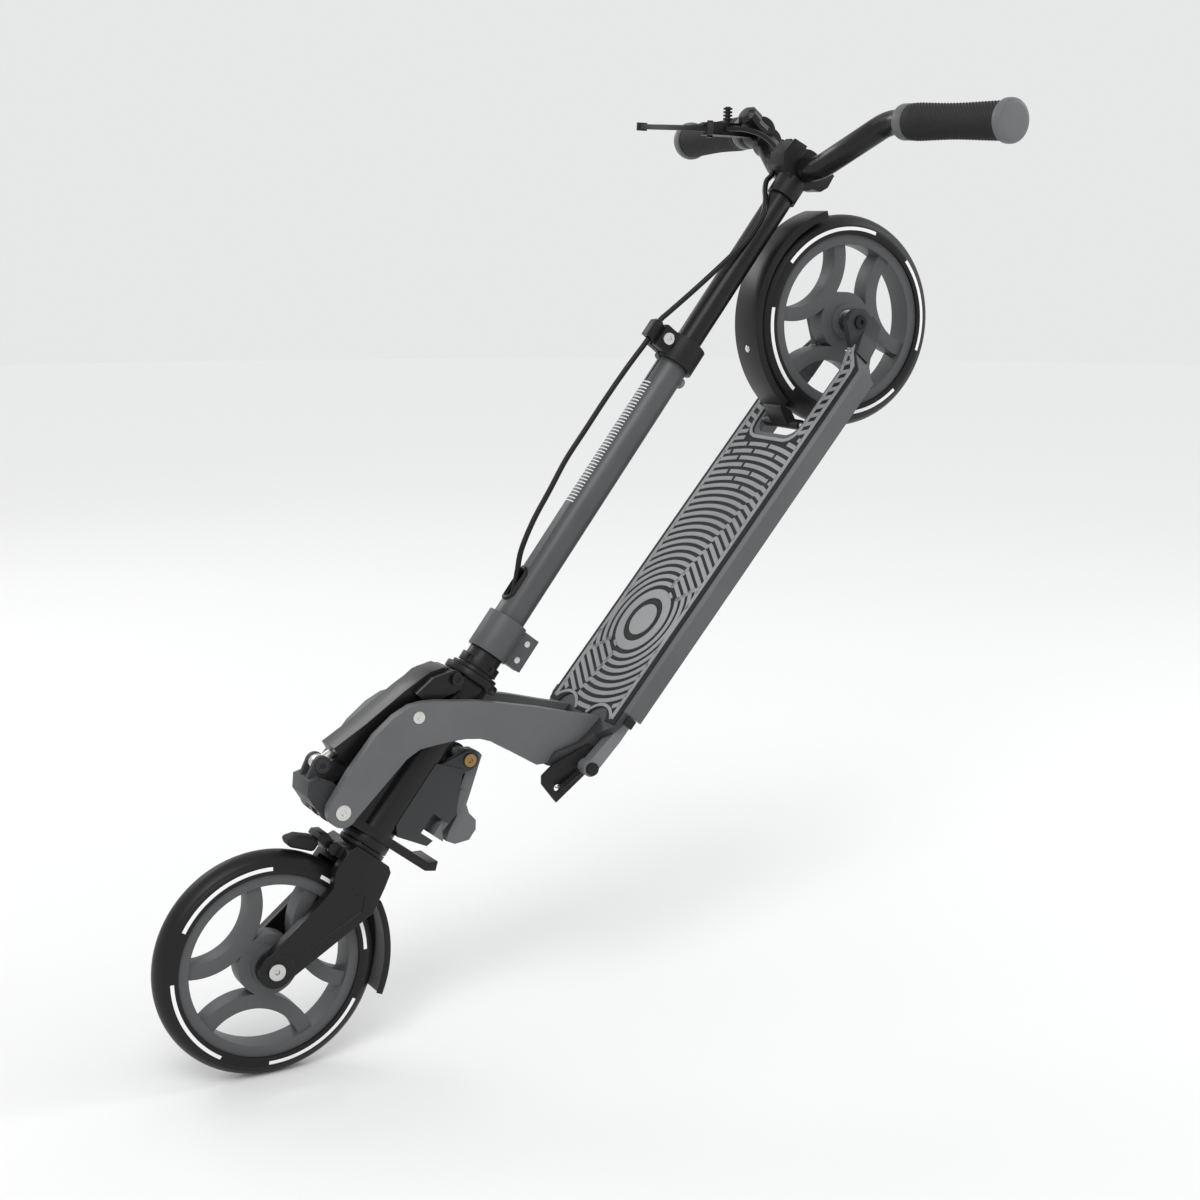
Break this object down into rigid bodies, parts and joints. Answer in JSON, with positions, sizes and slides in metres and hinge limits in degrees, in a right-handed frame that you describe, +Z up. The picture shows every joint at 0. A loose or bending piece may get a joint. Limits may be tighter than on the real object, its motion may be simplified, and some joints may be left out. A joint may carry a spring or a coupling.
{
  "type": "kick scooter",
  "caption": "Folding kick scooter stored folded: telescopic T-bar with hand brake, grip deck on two swing arms, fender brake, side stand and big wheels.",
  "frame": {"origin": "point where the front tyre touches the floor", "axes": "+X to the rear of the scooter, +Y to the rider's right, +Z up"},
  "size_m": [0.7939, 0.5156, 0.8355],
  "materials": {
    "gloss_black": "gloss black paint",
    "satin_grey_tube": "satin grey anodised",
    "arm_grey": "satin grey powder coat",
    "dark_grey": "satin dark grey powder coat",
    "pedal_grey": "satin grey casting",
    "black_plastic": "satin black moulding",
    "grey_plastic": "satin grey moulding",
    "grip_rubber": "ribbed rubber",
    "wheel_rubber": "smooth polyurethane",
    "grip_tape": "raised grip pattern",
    "bright_steel": "bright zinc",
    "bronze_steel": "yellow zinc",
    "nylon": "natural nylon",
    "stand_alloy": "cast alloy",
    "spring_rubber": "yellow elastomer"
  },
  "bodies": {
    "column": {"fork": "gloss_black", "steerer": "bright_steel", "headset_nuts": "black_plastic", "lower_tube": "satin_grey_tube", "stem_collar": "satin_grey_tube", "stem_bolts": "bright_steel", "cable_grommet": "black_plastic", "guide_bush": "nylon", "height_clamp": "black_plastic", "cable_clip": "black_plastic", "lower_cable": "black_plastic", "front_mudguard": "black_plastic", "front_axle": "bright_steel"},
    "button": {"height_button": "grey_plastic"},
    "front_wheel": {"front_tyre": "wheel_rubber", "front_core": "grey_plastic", "front_bearings": "bright_steel"},
    "front_brake": {"brake_arm": "black_plastic", "brake_pad": "grip_rubber"},
    "t_bar": {"upper_tube": "gloss_black", "bar_clamp": "gloss_black", "clamp_cap": "black_plastic", "clamp_screws": "bright_steel", "handlebar": "gloss_black", "grips": "grip_rubber", "grip_rings": "grey_plastic", "grip_caps": "grey_plastic", "lever_clamp": "black_plastic", "bell": "black_plastic", "upper_cable": "black_plastic"},
    "brake_lever": {"brake_blade": "black_plastic"},
    "head": {"head_tube": "gloss_black", "headset_cups": "black_plastic", "latch_housing": "dark_grey", "latch_pin": "bronze_steel", "latch_spring": "bright_steel", "strut_body": "gloss_black", "strut_screws": "bright_steel", "strut_spring": "spring_rubber"},
    "latch": {"latch_pedal": "pedal_grey"},
    "rod": {"strut_rod": "bright_steel"},
    "rocker": {"rocker": "arm_grey", "rocker_buffer": "grey_plastic"},
    "deck": {"arm_left": "arm_grey", "arm_right": "arm_grey", "pivot_pin": "bright_steel", "arm_screws": "bright_steel", "deck_nose": "dark_grey", "deck_board": "arm_grey", "side_bumpers": "black_plastic", "grip_tape": "grip_tape", "dropouts": "dark_grey", "rear_axle": "bright_steel", "fender_pin": "bright_steel", "stand_bracket": "black_plastic"},
    "rear_wheel": {"rear_tyre": "wheel_rubber", "rear_core": "grey_plastic", "rear_bearings": "bright_steel"},
    "fender": {"rear_fender": "black_plastic"},
    "stand": {"stand_leg": "stand_alloy"}
  },
  "joints": [
    {"name": "steering", "type": "hinge", "parent": "column", "child": "head", "pos_m": [0.01424, 0, 0.08899], "axis": [0.6115, 0, 0.7912], "range_deg": [-60, 60]},
    {"name": "bar_height", "type": "slide", "parent": "column", "child": "t_bar", "axis": [0.6115, 0, 0.7912], "range_m": [0, 0.1], "deforming": ["upper_cable"]},
    {"name": "height_button_press", "type": "slide", "parent": "column", "child": "button", "axis": [-0.7912, 0, 0.6115], "range_m": [0, 0.002], "stiffness_N_per_m": 2500},
    {"name": "front_wheel_spin", "type": "hinge", "parent": "column", "child": "front_wheel", "pos_m": [0, 0, 0.1], "axis": [0, 1, 0], "continuous": true},
    {"name": "brake_squeeze", "type": "hinge", "parent": "t_bar", "child": "brake_lever", "pos_m": [0.51143, 0.104, 0.81491], "axis": [-0.0367, 0, -0.9993], "range_deg": [0, 14], "stiffness_Nm_per_rad": 3},
    {"name": "front_brake_press", "type": "hinge", "parent": "column", "child": "front_brake", "pos_m": [0.0604, 0, 0.19614], "axis": [0, 1, 0], "range_deg": [-5, 0]},
    {"name": "latch_press", "type": "hinge", "parent": "head", "child": "latch", "pos_m": [0.18931, 0, 0.25827], "axis": [0, 1, 0], "range_deg": [0, 7], "stiffness_Nm_per_rad": 6, "springref_deg": -5.73},
    {"name": "suspension", "type": "hinge", "parent": "head", "child": "rocker", "pos_m": [0.06213, 0, 0.23271], "axis": [0, 1, 0], "range_deg": [0, 3], "stiffness_Nm_per_rad": 150, "springref_deg": -8.59},
    {"name": "strut_stroke", "type": "slide", "parent": "head", "child": "rod", "axis": [0.8806, 0, 0.4739], "range_m": [0, 0.0025]},
    {"name": "deck_fold", "type": "hinge", "parent": "rocker", "child": "deck", "pos_m": [0.06213, 0, 0.23271], "axis": [0, 1, 0], "range_deg": [0, 75.5]},
    {"name": "rear_wheel_spin", "type": "hinge", "parent": "deck", "child": "rear_wheel", "pos_m": [0.59389, 0, 0.63402], "axis": [0, 1, 0], "continuous": true},
    {"name": "fender_press", "type": "hinge", "parent": "deck", "child": "fender", "pos_m": [0.53213, 0, 0.53954], "axis": [0, 1, 0], "range_deg": [0, 1.4], "stiffness_Nm_per_rad": 12, "springref_deg": -2.86},
    {"name": "stand_swing", "type": "hinge", "parent": "deck", "child": "stand", "pos_m": [0.29092, 0, 0.24585], "axis": [0, 1, 0], "range_deg": [0, 95]}
  ],
  "couplings": [
    {"joint": "front_brake_press", "follows": "brake_squeeze", "ratio": -0.357},
    {"joint": "strut_stroke", "follows": "suspension", "m_per_rad": 0.0366}
  ]
}
